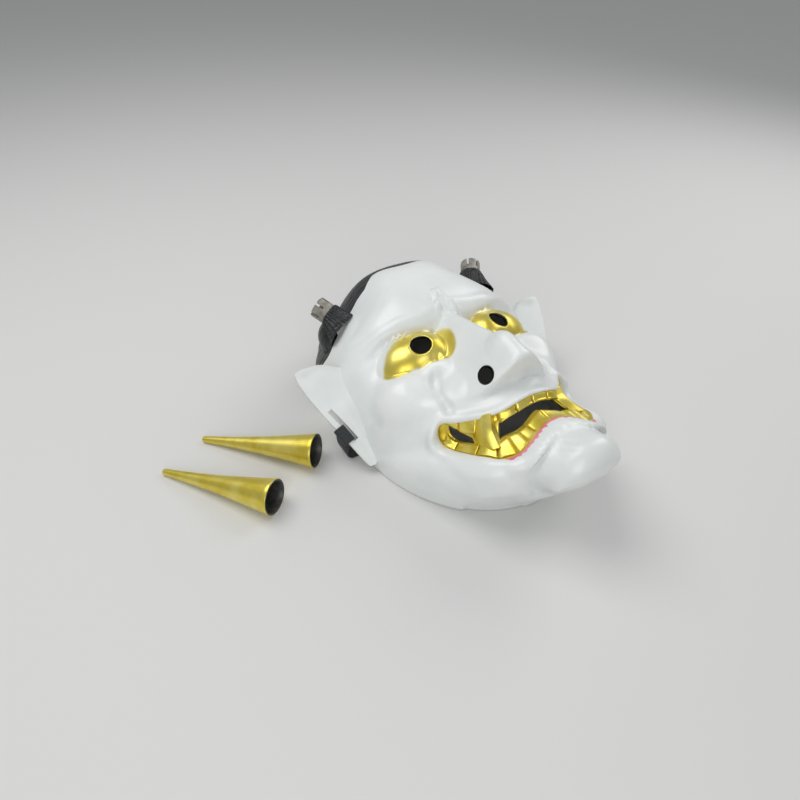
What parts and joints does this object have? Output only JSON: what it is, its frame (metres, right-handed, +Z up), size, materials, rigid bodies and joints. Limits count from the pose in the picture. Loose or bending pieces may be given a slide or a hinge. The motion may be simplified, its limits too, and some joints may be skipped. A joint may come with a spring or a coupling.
{
  "type": "hannya mask",
  "caption": "Hollow horned demon face mask with pierced eyes, nostrils and a toothed mouth, strap slots in its ears, and loose hollow push-on horns.",
  "frame": {"origin": "on the table under the middle of the mask and its loose horns, with the mask on its back rim", "axes": "+Z up out of the face, +Y from the chin to the hair, +X to the right of someone who looks at the face"},
  "size_m": [0.3266, 0.2576, 0.1064],
  "materials": {
    "mask_paint": "glossy white moulded plastic with gold eyes and teeth, pink lip and black hair",
    "stub_plastic": "grey moulded plastic",
    "gold_paint": "satin metallic gold paint on plastic",
    "strap_elastic": "woven black elastic"
  },
  "bodies": {
    "root": {"mask_shell": "mask_paint", "horn_stub_left": "stub_plastic", "horn_stub_right": "stub_plastic", "horn_front": "gold_paint", "horn_back": "gold_paint", "strap": "strap_elastic"}
  },
  "joints": []
}
